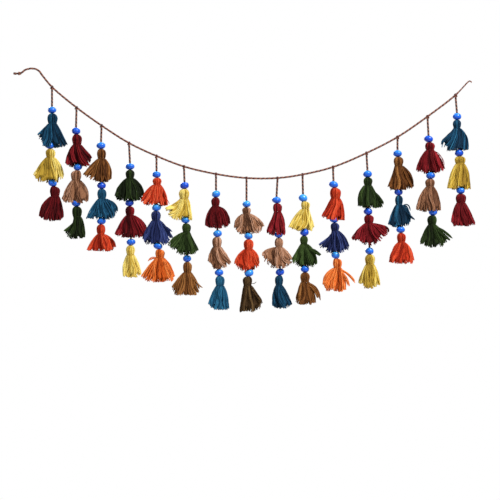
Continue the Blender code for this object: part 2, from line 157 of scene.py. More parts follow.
DROPS: tuple[Drop, ...] = (
    Drop(20, -24, (
        Lay(Yarn.TEAL, 0, 46, 1, 75, 29, 26, 0.0, 28, 8, 0.1, 10, 27, -0.1),
        Lay(Yarn.YELLOW, -4, 117, 1, 73, 33, 15, 0.2, 26, 14, 0.5, 9.5, 23, 0),
        Lay(Yarn.RED, 1, 192, 5, 75, 32, 8, 0.55, 16, 6, 0.7, 9.7, 26, -0.25, hem=4, sweep=0.3),
    )),
    Drop(69, -65, (
        Lay(Yarn.RED, -1, 47, 2, 71, 23, 7, 0.4, 29, 19, 0.1, 9.5, 27, -0.2, glaze=Glaze.DEEP, sweep=-0.6),
        Lay(Yarn.TAN, 3, 119, -4, 72, 27, 7, 0.3, 24, 7, 0.8, 10, 26, 0.15),
        Lay(Yarn.GREEN, -1, 191, 2, 71, 25, 16, -0.8, 15, 5, 0.9, 9.5, 27, -0.2, hem=4),
    )),
    Drop(119, -101, (
        Lay(Yarn.OCHRE, -1, 40, 1, 73, 36, 16, 0.1, 19, 6, 0.9, 8.7, 26, -0.1, hem=3.5, sweep=0.3),
        Lay(Yarn.TEAL, 0, 120, 1, 67, 31, 2, 0.2, 31, 18, 0.7, 8.8, 26, 0.15, glaze=Glaze.DEEP),
        Lay(Yarn.SCARLET, 0, 191, -1, 60, 28, 3, 0.2, 29, 9, 0.6, 8.5, 26, -0.1),
    )),
    Drop(174, -136, (
        Lay(Yarn.GREEN, 2, 47, 0, 69, 30, 11, 0.4, 28, 11, 0.6, 8.7, 23, -0.3, sweep=-0.2),
        Lay(Yarn.RED, 1, 120, 1, 69, 30, 8, 0.2, 34, 9, 0.7, 9, 24, 0, glaze=Glaze.DEEP),
        Lay(Yarn.YELLOW, 4, 198, -1, 70, 15, 3, 0.8, 21, 9, 0.3, 8.3, 25, 0.4),
    )),
    Drop(229, -162, (
        Lay(Yarn.SCARLET, 0, 37, 1, 62, 31, 8, 0.5, 21, 2, 0.6, 8.5, 20, -0.05, sweep=0.4),
        Lay(Yarn.NAVY, 0, 103, -1, 74, 27, 12, 0.2, 33, 16, 0.2, 9.3, 25, 0, glaze=Glaze.PALE, sweep=0.3),
        Lay(Yarn.ORANGE, 3, 180, 4, 71, 38, 11, 0.1, 29, 11, 0.4, 9, 23, -0.05),
    )),
    Drop(284, -183, (
        Lay(Yarn.YELLOW, 1, 38, -1, 68, 37, 23, -0.3, 15, 0, 0.7, 10, 26, 0.1, glaze=Glaze.DEEP, sweep=0.6),
        Lay(Yarn.GREEN, 3, 107, 2, 69, 37, 19, 0.4, 24, 9, -0.1, 8.5, 24, 0.15, hem=3.5, glaze=Glaze.PALE, sweep=0.2),
        Lay(Yarn.OCHRE, 6, 184, 1, 73, 32, 16, 0.1, 24, 14, 0.2, 8.8, 27, 0.25),
    )),
    Drop(348, -198, (
        Lay(Yarn.RED, 0, 40, -1, 68, 21, 6, 0.5, 30, 9, 0.6, 8.3, 24, -0.15, glaze=Glaze.PALE),
        Lay(Yarn.TAN, 3, 119, -1, 71, 17, 16, 0.5, 27, 14, 0.2, 9.2, 26, 0.05, hem=2.5, glaze=Glaze.PALE, sweep=-0.7),
        Lay(Yarn.TEAL, 6, 197, 2, 74, 23, 13, 0.2, 17, 3, 0.7, 9, 26, 0.3),
    )),
    Drop(409, -206, (
        Lay(Yarn.TAN, 0, 52, 0, 60, 24, 14, 0.7, 35, 17, 0.4, 8.5, 19, 0.1, glaze=Glaze.PALE),
        Lay(Yarn.SCARLET, 4, 116, 0, 73, 29, 18, 0.4, 22, 20, 0.6, 9.7, 26, 0.1, hem=2.4, glaze=Glaze.PALE),
        Lay(Yarn.OLIVE, 5, 190, -3, 76, 15, 0, 0.2, 29, 15, 0.2, 9.2, 24, 0.05, glaze=Glaze.PALE, sweep=0.2),
    )),
    Drop(471, -206, (
        Lay(Yarn.RED, -2, 44, 2, 70, 21, 11, -0.1, 15, 3, 0.9, 8.7, 24, -0.05, sweep=0.3),
        Lay(Yarn.TAN, 2, 113, 1, 67, 33, 25, 0.8, 27, 18, 0.2, 8.3, 25, 0.1, hem=3, sweep=-0.4),
        Lay(Yarn.TEAL, 5, 188, -2, 72, 13, 6, 0.8, 26, 8, 0.2, 8, 26, -0.2, glaze=Glaze.DEEP, sweep=-0.6),
    )),
    Drop(521, -199, (
        Lay(Yarn.YELLOW, 1, 47, 5, 65, 33, 8, 0.3, 17, 8, 0.0, 8.5, 21, 0.25, glaze=Glaze.PALE, sweep=0.4),
        Lay(Yarn.GREEN, 4, 116, -1, 69, 25, 15, 0.0, 26, 7, 0.7, 7.5, 22, 0.15, hem=3.5, glaze=Glaze.DEEP, sweep=-0.3),
        Lay(Yarn.OCHRE, 5, 189, 0, 70, 18, 12, 0.2, 21, 4, 0.6, 9.2, 25, 0.05),
    )),
    Drop(582, -184, (
        Lay(Yarn.SCARLET, 1, 35, 4, 71, 28, 8, 0.0, 18, 1, 0.8, 10.5, 27, -0.25, hem=3.5, sweep=0.6),
        Lay(Yarn.NAVY, 2, 105, 2, 67, 33, 18, -0.5, 29, 13, 0.4, 8.5, 22, -0.1, hem=4),
        Lay(Yarn.ORANGE, 5, 176, 4, 72, 30, 13, 0.7, 17, 4, 0.7, 8.8, 25, 0.3, glaze=Glaze.PALE, sweep=0.4),
    )),
    Drop(649, -156, (
        Lay(Yarn.GREEN, 2, 42, 1, 68, 20, 8, 0.8, 30, 4, 0.0, 8.8, 22, -0.05),
        Lay(Yarn.RED, 3, 117, 2, 68, 35, 16, 0.2, 40, 27, 0.9, 9.3, 23, 0.05, hem=1.6, glaze=Glaze.DEEP, sweep=-0.3),
        Lay(Yarn.YELLOW, 6, 196, 1, 74, 24, 12, 0.1, 20, 7, 0.4, 9.8, 26, -0.05, hem=2.5),
    )),
    Drop(711, -124, (
        Lay(Yarn.OCHRE, 0, 33, 2, 73, 21, 8, -0.2, 31, 10, 0.6, 9.5, 24, -0.05, sweep=-0.3),
        Lay(Yarn.TEAL, 2, 110, 1, 70, 22, 6, 0.2, 23, 12, 0.9, 7.5, 25, -0.25, glaze=Glaze.DEEP),
        Lay(Yarn.SCARLET, 6, 185, 2, 68, 25, 5, 0.5, 26, 8, 0.45, 8.7, 25, -0.1, sweep=0.8),
    )),
    Drop(771, -83, (
        Lay(Yarn.RED, 2, 45, 3, 68, 28, 8, 0.3, 30, 10, 0.3, 9.3, 22, 0.2, hem=4, glaze=Glaze.DEEP),
        Lay(Yarn.TAN, 6, 118, -1, 71, 28, 4, 0.4, 21, 2, 0.6, 9, 22, -0.2),
        Lay(Yarn.GREEN, 11, 191, -2, 70, 24, 10, 0.2, 30, 11, 0.3, 9, 25, -0.05, hem=3, sweep=-0.4),
    )),
    Drop(827, -40, (
        Lay(Yarn.TEAL, 3, 43, 0, 68, 33, 17, -0.1, 23, 2, 0.8, 8, 23, -0.35, sweep=0.5),
        Lay(Yarn.YELLOW, 7, 116, 2, 72, 26, 3, 0.3, 21, 3, 0.7, 10.5, 21, -0.3, glaze=Glaze.DEEP, sweep=0.4),
        Lay(Yarn.RED, 10, 191, 1, 71, 20, 8, 0.4, 29, 7, 0.1, 10, 24, 0, sweep=-0.4),
    )),
)

# The loose left-hand tail of the cord, from its cut end to the hanging point.
LEFT_TAIL = (
    (-57, 3),
    (-51, 3),
    (-45, 3),
    (-39, 6),
    (-34, 10),
    (-28, 12),
    (-21, 13),
    (-13, 12),
    (-6, 8),
    (0, 0),
)
# Its right-hand end, over the other hanging point.
RIGHT_END = (
    (849, -17),
    (854, -12.4),
    (857, -12.5),
    (859, -15),
)

# Yarn that stands out of a skirt, by string number and place on the string.
LOOSE_YARN: dict[tuple[int, Tier], tuple[Loose, ...]] = {
    (5, Tier.TOP): (
        Loose(1, (14, 22), (20, 28), (25, 39)),
        Loose(1, (13, 20), (17, 26), (19, 30)),
    ),
    (5, Tier.MIDDLE): (Loose(7, (8, 6), (20, 16), (33, 24), 3.0),),
    (5, Tier.BOTTOM): (
        Loose(2, (-5, 1), (-16, -3), (-25, 8), 1.5),
        Loose(1, (-5, 1), (-15, 3), (-21, 5)),
    ),
    (6, Tier.TOP): (
        Loose(8, (-8, 4), (-20, 14), (-36, 25), 3.5),
        Loose(9, (-7, 8), (-16, 22), (-32, 33), 3.5),
        Loose(9, (-6, 12), (-12, 28), (-25, 39), 3.5),
    ),
    (6, Tier.BOTTOM): (Loose(4, (10, 10), (20, 26), (31, 32), 1.5),),
    (7, Tier.TOP): (
        Loose(1, (8, 2), (26, 6), (28, 30)),
        Loose(1, (9, 4), (22, 8), (25, 28)),
    ),
    (8, Tier.BOTTOM): (
        Loose(1, (6, -3), (12, -2), (18, -6)),
        Loose(8, (8, 8), (20, 20), (31, 36), 3.0),
    ),
    (10, Tier.MIDDLE): (Loose(10, (9, 10), (23, 16), (34, 24), 3.5),),
    (10, Tier.BOTTOM): (
        Loose(9, (7, 4), (26, 9), (30, 38), 2.5),
        Loose(8, (8, 8), (22, 15), (25, 33), 3.0),
        Loose(3, (10, 8), (27, 14), (31, 39), 1.2),
    ),
    (11, Tier.MIDDLE): (Loose(7, (-8, 8), (-14, 24), (-32, 27), 3.0),),
    (11, Tier.BOTTOM): (
        Loose(6, (7, 4), (24, 13), (36, 31), 2.2),
        Loose(6, (8, 8), (18, 20), (23, 38), 2.5),
    ),
    (12, Tier.TOP): (Loose(7, (9, 12), (22, 26), (32, 39), 3.5),),
    (12, Tier.MIDDLE): (
        Loose(9, (8, 6), (28, 4), (37, 19), 2.5),
        Loose(7, (9, 12), (24, 15), (31, 28), 3.0),
    ),
    (13, Tier.MIDDLE): (
        Loose(2, (7, 3), (20, -6), (23, 14), 0.8),
        Loose(2, (7, 4), (17, -2), (20, 18), 0.8),
        Loose(5, (9, 10), (21, 22), (32, 31), 2.0),
    ),
    (14, Tier.TOP): (
        Loose(1, (8, 3), (23, 7), (26, 26)),
        Loose(1, (9, 5), (28, 14), (28, 31)),
    ),
    (14, Tier.BOTTOM): (
        Loose(9, (7, 4), (24, 14), (41, 28), 2.5),
        Loose(8, (8, 9), (22, 21), (36, 32), 3.0),
    ),
    (15, Tier.TOP): (Loose(9, (-7, 5), (-19, 19), (-33, 28), 3.5),),
}

# Skirts whose front hangs over the bead below, instead of parting round it.
COVERING = {
    (1, Tier.TOP),
    (2, Tier.MIDDLE),
    (9, Tier.TOP),
    (11, Tier.TOP),
    (13, Tier.TOP),
    (14, Tier.MIDDLE),
}


def linear_colour(digits: str) -> tuple[float, float, float, float]:
    """Turns an sRGB hex value into a linear colour.

    Args:
        digits: six hex digits.

    Returns:
        The colour with full alpha.
    """
    channels = [int(digits[i : i + 2], 16) / 255 for i in (0, 2, 4)]
    return (
        *(c / 12.92 if c <= 0.04045 else ((c + 0.055) / 1.055) ** 2.4 for c in channels),
        1.0,
    )


def add_node(
    tree: bpy.types.NodeTree,
    kind: str,
    inputs: dict[str | int, object] | None = None,
    **settings: object,
) -> bpy.types.Node:
    """Adds a node with its settings, and sets or links its inputs.

    Args:
        tree: the node tree that the node goes into.
        kind: the node's type.
        inputs: for each input, a value or the output socket that feeds it.
        settings: properties of the node.

    Returns:
        The node.
    """
    node = tree.nodes.new(kind)
    for name, value in settings.items():
        setattr(node, name, value)
    for key, value in (inputs or {}).items():
        if isinstance(value, bpy.types.NodeSocket):
            tree.links.new(value, node.inputs[key])
        else:
            node.inputs[key].default_value = value
    return node


def new_material(name: str) -> tuple[bpy.types.Material, bpy.types.NodeTree, bpy.types.Node]:
    """Makes an empty material with a Principled shader on its output.

    Args:
        name: the material's name.

    Returns:
        The material, its node tree and its shader.
    """
    made = bpy.data.materials.new(name)
    made.use_nodes = True
    tree = made.node_tree
    tree.nodes.clear()
    shader = add_node(tree, "ShaderNodeBsdfPrincipled")
    add_node(tree, "ShaderNodeOutputMaterial", {"Surface": shader.outputs["BSDF"]})
    return made, tree, shader


@dataclass(frozen=True)
class CarpetWool:
    """Dyed carpet wool, spun soft and plied loosely.

    It is quite matt, with a pale bloom of loose fibre at grazing angles. The dye takes unevenly, so strands differ
    from one another and along their length; strands in the skirt's creases and inner layers are also darker as painted
    shade.
    """

    name: str
    deep: str
    body: str
    light: str
    curl: float = 0.7
    roughness: float = 0.92
    bloom: float = 0.15
    fleck: float = 0.32
    fleck_size: float = 3.0
    fibre_width: float = 0.35

    def material(self) -> bpy.types.Material:
        """Builds the wool's material, or returns it when it is there.

        Returns:
            The material.
        """
        found = bpy.data.materials.get(self.name)
        if found:
            return found
        made, tree, shader = new_material(self.name)
        place = add_node(tree, "ShaderNodeTexCoord").outputs["Object"]
        tone = add_node(tree, "ShaderNodeAttribute", attribute_name="tone").outputs["Fac"]
        fleck = add_node(
            tree,
            "ShaderNodeTexNoise",
            {"Vector": place, "Scale": 1 / (self.fleck_size * MM), "Detail": 3.0},
        ).outputs["Fac"]
        shade = add_node(
            tree,
            "ShaderNodeMath",
            {0: fleck, 1: self.fleck, 2: tone},
            operation="MULTIPLY_ADD",
        ).outputs["Value"]
        shade = add_node(
            tree, "ShaderNodeMath", {0: shade, 1: self.fleck / 2}, operation="SUBTRACT"
        ).outputs["Value"]
        ramp = add_node(tree, "ShaderNodeValToRGB", {"Fac": shade})
        ramp.color_ramp.elements[0].position = 0.05
        ramp.color_ramp.elements[0].color = linear_colour(self.deep)
        ramp.color_ramp.elements[1].position = 0.95
        ramp.color_ramp.elements[1].color = linear_colour(self.light)
        ramp.color_ramp.elements.new(0.5).color = linear_colour(self.body)
        stretched = add_node(
            tree, "ShaderNodeMapping", {"Vector": place, "Scale": (1.0, 1.0, 0.2)}
        ).outputs["Vector"]
        fibre = add_node(
            tree,
            "ShaderNodeTexNoise",
            {"Vector": stretched, "Scale": 1 / (self.fibre_width * MM), "Detail": 2.0},
        ).outputs["Fac"]
        bump = add_node(
            tree,
            "ShaderNodeBump",
            {"Height": fibre, "Strength": 0.6, "Distance": 0.4 * MM},
        ).outputs["Normal"]
        tree.links.new(ramp.outputs["Color"], shader.inputs["Base Color"])
        tree.links.new(bump, shader.inputs["Normal"])
        shader.inputs["Roughness"].default_value = self.roughness
        shader.inputs["Sheen Weight"].default_value = self.bloom
        shader.inputs["Sheen Roughness"].default_value = 0.6
        shader.inputs["Sheen Tint"].default_value = linear_colour(self.light)
        shader.inputs["Specular IOR Level"].default_value = 0.15
        return made


@dataclass(frozen=True)
class GlazedClay:
    """Small clay bead under a thick clear blue glaze, fired glossy.

    The glaze pools, which mottles the blue, and each bead is painted paler towards its top and deeper towards its
    bottom as light from above: so the blue runs from a pale azure to a deep one on the same bead.
    """

    name: str = "glazed_clay_blue"
    deep: str = "0A3CC0"
    body: str = "1868E0"
    light: str = "46B0F4"
    pool_size: float = 9.0

    def material(self) -> bpy.types.Material:
        """Builds the glaze's material, or returns it when it is there.

        Returns:
            The material.
        """
        found = bpy.data.materials.get(self.name)
        if found:
            return found
        made, tree, shader = new_material(self.name)
        place = add_node(tree, "ShaderNodeTexCoord").outputs["Object"]
        tone = add_node(tree, "ShaderNodeAttribute", attribute_name="tone").outputs["Fac"]
        pool = add_node(
            tree,
            "ShaderNodeTexNoise",
            {"Vector": place, "Scale": 1 / (self.pool_size * MM), "Detail": 1.5},
        ).outputs["Fac"]
        shade = add_node(
            tree,
            "ShaderNodeMath",
            {0: pool, 1: 0.3, 2: tone},
            operation="MULTIPLY_ADD",
        ).outputs["Value"]
        shade = add_node(
            tree, "ShaderNodeMath", {0: shade, 1: 0.15}, operation="SUBTRACT"
        ).outputs["Value"]
        ramp = add_node(tree, "ShaderNodeValToRGB", {"Fac": shade})
        ramp.color_ramp.elements[0].position = 0.05
        ramp.color_ramp.elements[0].color = linear_colour(self.deep)
        ramp.color_ramp.elements[1].position = 0.95
        ramp.color_ramp.elements[1].color = linear_colour(self.light)
        ramp.color_ramp.elements.new(0.5).color = linear_colour(self.body)
        ripple = add_node(
            tree,
            "ShaderNodeBump",
            {"Height": pool, "Strength": 0.15, "Distance": 0.5 * MM},
        ).outputs["Normal"]
        tree.links.new(ramp.outputs["Color"], shader.inputs["Base Color"])
        tree.links.new(ripple, shader.inputs["Normal"])
        shader.inputs["Roughness"].default_value = 0.3
        shader.inputs["IOR"].default_value = 1.5
        shader.inputs["Specular IOR Level"].default_value = 0.35
        shader.inputs["Coat Weight"].default_value = 0.25
        shader.inputs["Coat Roughness"].default_value = 0.16
        return made


@dataclass(frozen=True)
class TwistedYarnCord:
    """Cord of three mercerised yarns, black-brown, rust and cream, twisted together."""

    name: str = "twisted_yarn_cord"
    dark: str = "200B0D"
    rust: str = "7A3424"
    cream: str = "A9785A"
    fibre_width: float = 0.3

    def material(self) -> bpy.types.Material:
        """Builds the cord's material, or returns it when it is there.

        Returns:
            The material.
        """
        found = bpy.data.materials.get(self.name)
        if found:
            return found
        made, tree, shader = new_material(self.name)
        place = add_node(tree, "ShaderNodeTexCoord").outputs["Object"]
        tone = add_node(tree, "ShaderNodeAttribute", attribute_name="tone").outputs["Fac"]
        ramp = add_node(tree, "ShaderNodeValToRGB", {"Fac": tone})
        ramp.color_ramp.elements[0].position = 0.1
        ramp.color_ramp.elements[0].color = linear_colour(self.dark)
        ramp.color_ramp.elements[1].position = 0.9
        ramp.color_ramp.elements[1].color = linear_colour(self.cream)
        ramp.color_ramp.elements.new(0.5).color = linear_colour(self.rust)
        fibre = add_node(
            tree,
            "ShaderNodeTexNoise",
            {"Vector": place, "Scale": 1 / (self.fibre_width * MM), "Detail": 2.0},
        ).outputs["Fac"]
        bump = add_node(
            tree,
            "ShaderNodeBump",
            {"Height": fibre, "Strength": 0.5, "Distance": 0.2 * MM},
        ).outputs["Normal"]
        tree.links.new(ramp.outputs["Color"], shader.inputs["Base Color"])
        tree.links.new(bump, shader.inputs["Normal"])
        shader.inputs["Roughness"].default_value = 0.75
        shader.inputs["Sheen Weight"].default_value = 0.15
        shader.inputs["Sheen Roughness"].default_value = 0.5
        return made


WOOLS: dict[Yarn, CarpetWool] = {
    Yarn.TEAL: CarpetWool("wool_teal", "0A2236", "174867", "2F7092"),
    Yarn.YELLOW: CarpetWool("wool_yellow", "8E6E22", "CDAA3E", "F0DC7E", curl=0.8, fleck=0.2),
    Yarn.RED: CarpetWool("wool_dark_red", "38060A", "6C1016", "93222A"),
    Yarn.TAN: CarpetWool("wool_tan", "563524", "936548", "C2957A", curl=2.0),
    Yarn.GREEN: CarpetWool("wool_forest_green", "12190A", "263615", "3F5428", curl=0.9),
    Yarn.OCHRE: CarpetWool("wool_ochre", "3E200C", "73451F", "9E6A38", curl=0.9),
    Yarn.SCARLET: CarpetWool("wool_scarlet", "8A1C0C", "C63A1C", "E4633E"),
    Yarn.NAVY: CarpetWool("wool_navy", "0F1532", "212A58", "3C4A80"),
    Yarn.ORANGE: CarpetWool("wool_orange", "9C3E10", "D8621E", "F28E4A", curl=0.9),
    Yarn.OLIVE: CarpetWool("wool_olive", "22150A", "432F19", "6E5534", curl=0.9),
}
GLAZE = GlazedClay()
CORD = TwistedYarnCord()


def activate(obj: bpy.types.Object) -> None:
    """Makes one object the only selected one, and the active one.

    Args:
        obj: the object.
    """
    bpy.ops.object.select_all(action="DESELECT")
    obj.select_set(True)
    bpy.context.view_layer.objects.active = obj


@contextmanager
def editing(obj: bpy.types.Object) -> Iterator[None]:
    """Holds an object in edit mode with nothing selected.

    Args:
        obj: the object.
    """
    activate(obj)
    bpy.ops.object.mode_set(mode="EDIT")
    bpy.ops.mesh.select_all(action="DESELECT")
    yield
    bpy.ops.object.mode_set(mode="OBJECT")


def select_edges(obj: bpy.types.Object, test: Callable[[bmesh.types.BMEdge], bool]) -> None:
    """Selects the edges of a mesh in edit mode that pass a test.

    Args:
        obj: the object in edit mode.
        test: what an edge has to pass.
    """
    mesh = bmesh.from_edit_mesh(obj.data)
    for edge in mesh.edges:
        if test(edge):
            edge.select_set(True)
    bmesh.update_edit_mesh(obj.data)


def join(parts: Sequence[bpy.types.Object]) -> bpy.types.Object:
    """Joins objects into the first of them.

    Args:
        parts: the objects.

    Returns:
        The first object, which holds all of them.
    """
    activate(parts[0])
    for part in parts[1:]:
        part.select_set(True)
    bpy.ops.object.join()
    return parts[0]


def quadratic(start: Vector, bend: Vector, end: Vector, share: float) -> Vector:
    """Point of the curve that leaves start towards bend and comes to end.

    Args:
        start: the curve's first point.
        bend: the point that pulls it.
        end: its last point.
        share: how far along it, from 0 to 1.

    Returns:
        The point.
    """
    rest = 1 - share
    return start * rest * rest + bend * 2 * rest * share + end * share * share


def between(a: Vector, b: Vector, c: Vector, d: Vector, share: float) -> Vector:
    """Point of the smooth curve from b to c, with a and d before and after them.

    Args:
        a: the point before.
        b: where the stretch starts.
        c: where it ends.
        d: the point after.
        share: how far along it, from 0 to 1.

    Returns:
        The point.
    """
    step = c - b
    stride, before, after = (side.length**0.5 for side in (step, b - a, d - c))
    leave = step + stride * ((b - a) / before - (c - a) / (before + stride)) if before else step
    come = step + stride * ((d - c) / after - (d - b) / (after + stride)) if after else step
    square = share * share
    cube = share * square
    return (
        b * (2 * cube - 3 * square + 1)
        + leave * (cube - 2 * square + share)
        + c * (3 * square - 2 * cube)
        + come * (cube - square)
    )


def smooth_step(low: float, high: float, value: float) -> float:
    """Eases from 0 at low to 1 at high.

    Args:
        low: where it leaves 0.
        high: where it reaches 1.
        value: where it is read.

    Returns:
        The eased value.
    """
    share = min(1.0, max(0.0, (value - low) / (high - low)))
    return share * share * (3 - 2 * share)


class YarnBundle:
    """Strands of yarn laid as curves, and then made one closed mesh."""

    def __init__(self, name: str, section: bpy.types.Object) -> None:
        """Starts an empty bundle.

        Args:
            name: the finished piece's name.
            section: the curve that is a strand's section.
        """
        self.curve = bpy.data.curves.new(name, "CURVE")
        self.curve.dimensions = "3D"
        self.curve.bevel_mode = "OBJECT"
        self.curve.bevel_object = section
        self.sides = len(section.data.splines[0].points)
        self.name = name
        self.tones: list[float] = []

    def lay(
        self,
        points: Sequence[Vector],
        radii: Sequence[float],
        tone: float,
        twist: float = 0.9,
        start: float = 0.0,
    ) -> None:
        """Lays one strand.

        Args:
            points: where it runs, in millimetres.
            radii: its radius at each point, in millimetres.
            tone: its shade, from 0 for deep to 1 for light.
            twist: how far its plies turn from one point to the next, in radians.
            start: how far they are turned at its first point.
        """
        spline = self.curve.splines.new("POLY")
        spline.points.add(len(points) - 1)
        spline.use_smooth = True
        flat = [value for p in points for value in (p.x * MM, p.y * MM, p.z * MM, 1.0)]
        spline.points.foreach_set("co", flat)
        spline.points.foreach_set("radius", [radius * MM for radius in radii])
        spline.points.foreach_set("tilt", [start + twist * i for i in range(len(points))])
        self.tones.extend([min(1.0, max(0.0, tone))] * (len(points) * self.sides))

    def make(self, material: bpy.types.Material) -> bpy.types.Object:
        """Makes the strands one mesh, with each strand's shade in its tone attribute.

        Args:
            material: the strands' material.

        Returns:
            The finished piece.
        """
        piece = bpy.data.objects.new(self.name, self.curve)
        bpy.context.scene.collection.objects.link(piece)
        activate(piece)
        bpy.ops.object.convert(target="MESH")
        piece = bpy.context.object
        mesh = piece.data
        mesh.name = self.name
        attribute = mesh.attributes.new("tone", "FLOAT", "POINT")
        attribute.data.foreach_set("value", self.tones)
        mesh.materials.append(material)
        with editing(piece):
            bpy.ops.mesh.select_all(action="SELECT")
            bpy.ops.mesh.fill_holes(sides=self.sides)
            bpy.ops.mesh.select_all(action="SELECT")
            bpy.ops.mesh.normals_make_consistent(inside=False)
        bpy.ops.object.shade_smooth_by_angle(angle=math.radians(80))
        return piece


def strand_section(name: str, sides: int, lobes: int, depth: float) -> bpy.types.Object:
    """Makes the curve that is a strand's section, a ring with a lobe for each ply.

    Args:
        name: the curve's name.
        sides: how many points it has.
        lobes: how many plies show in it.
        depth: how far the lobes stand out, as a share of its radius.

    Returns:
        The section, a metre in radius.
    """
    curve = bpy.data.curves.new(name, "CURVE")
    curve.dimensions = "2D"
    spline = curve.splines.new("POLY")
    spline.points.add(sides - 1)
    for i, point in enumerate(spline.points):
        angle = -math.tau * i / sides
        radius = 1 - depth + depth * math.cos(lobes * angle)
        point.co = (radius * math.cos(angle), radius * math.sin(angle), 0, 1)
    spline.use_cyclic_u = True
    section = bpy.data.objects.new(name, curve)
    bpy.context.scene.collection.objects.link(section)
    section.hide_render = True
    return section


@dataclass(frozen=True)
class Hang:
    """Where the bead, the head and the skirt of one tassel are."""

    drop: Drop
    lay: Lay
    neck_share: float = 0.85
    fuzz: float = 0.5
    least_depth: float = 15.0
    depth_share: float = 0.62
    back_share: float = 0.8
    fullness: float = 0.8
    turn: float = math.radians(13)
    puff_share: float = 0.5
    bead_gap: float = -0.4

    def bead_centre(self) -> Vector:
        """Centre of the bead above the tassel."""
        return Vector((self.drop.x + self.lay.side, 0, self.drop.z - self.lay.down))

    def below_bead(self, fall: float) -> Vector:
        """Point of the string at a height below the bead's centre, in the bead or the head.

        Args:
            fall: how far below, in millimetres.

        Returns:
            The point.
        """
        slope = self.lay.lean / HEAD_BELOW_BEAD
        return self.bead_centre() + Vector((slope * fall, 0, -fall))

    def ball(self, angle: float, share: float, inset: float) -> Vector:
        """Point of the ball-shaped head.

        Args:
            angle: how far round, from the right-hand side by way of the front.
            share: how far down, from 0 at the string to 1 at the binding.
            inset: how deep under the surface, in millimetres.

        Returns:
            The point.
        """
        rim = BEAD_HALF_HEIGHT + self.bead_gap
        half = (self.lay.neck - rim) / 1.95
        swing = math.radians(8 + 154 * share)
        out = math.sin(swing) ** 0.8
        if swing > math.pi / 2:
            fall = (swing - math.pi / 2) / math.radians(72)
            out = self.neck_share + (1 - self.neck_share) * math.cos(fall * math.pi / 2) ** 2
        middle = self.below_bead(rim + (HEAD_BELOW_BEAD - rim) * smooth_step(0, 0.4, share))
        wide = out * (self.lay.head + self.fuzz) - inset * min(1.0, 2 * out)
        height = self.bead_centre().z - rim - half + (half - inset * (share < 0.8)) * math.cos(swing)
        return Vector((middle.x + wide * math.cos(angle), -wide * math.sin(angle), height))

    def next_bead(self) -> Vector | None:
        """Centre of the bead below the skirt, or None under the last tassel."""
        place = self.drop.tassels.index(self.lay) + 1
        if place == len(self.drop.tassels):
            return None
        return Hang(self.drop, self.drop.tassels[place]).bead_centre()

    def skirt(self, angle: float, share: float, layer: float = 1.0) -> Vector:
        """Point of the skirt.

        Args:
            angle: how far round, from the right-hand corner by way of the front.
            share: how far down, from 0 at the neck to 1 at the yarn ends.
            layer: how far out, from 0 in the middle to 1 at the surface.

        Returns:
            The point.
        """
        across = math.cos(angle)
        deep = -math.sin(angle)
        lay = self.lay
        reach, up, puff = (
            (lay.right, lay.right_up, lay.right_puff)
            if across > 0
            else (lay.left, lay.left_up, lay.left_puff)
        )
        depth = max(self.least_depth, self.depth_share * (lay.left + lay.right) / 2)
        if deep > 0:
            depth *= self.back_share
        inside = min(share, 1.0)
        swell = puff * across**2 * self.puff_share * math.sin(math.pi * inside**0.8)
        spread = share + swell
        neck = (lay.head + self.fuzz) * self.neck_share - STRAND_RADIUS
        wide = neck + (reach - neck) * spread
        thick = neck + (depth - STRAND_RADIUS - neck) * share**self.fullness
        top = self.below_bead(lay.neck)
        lowest = self.bead_centre().z - lay.length
        rise = up * abs(across) ** lay.hem
        height = top.z + (lowest + rise - top.z) * share
        twist = self.turn * share
        x = across * wide * layer
        y = deep * thick * layer
        return Vector((
            self.below_bead(HEAD_BELOW_BEAD).x + x * math.cos(twist) - y * math.sin(twist),
            y * math.cos(twist) + x * math.sin(twist),
            height,
        ))


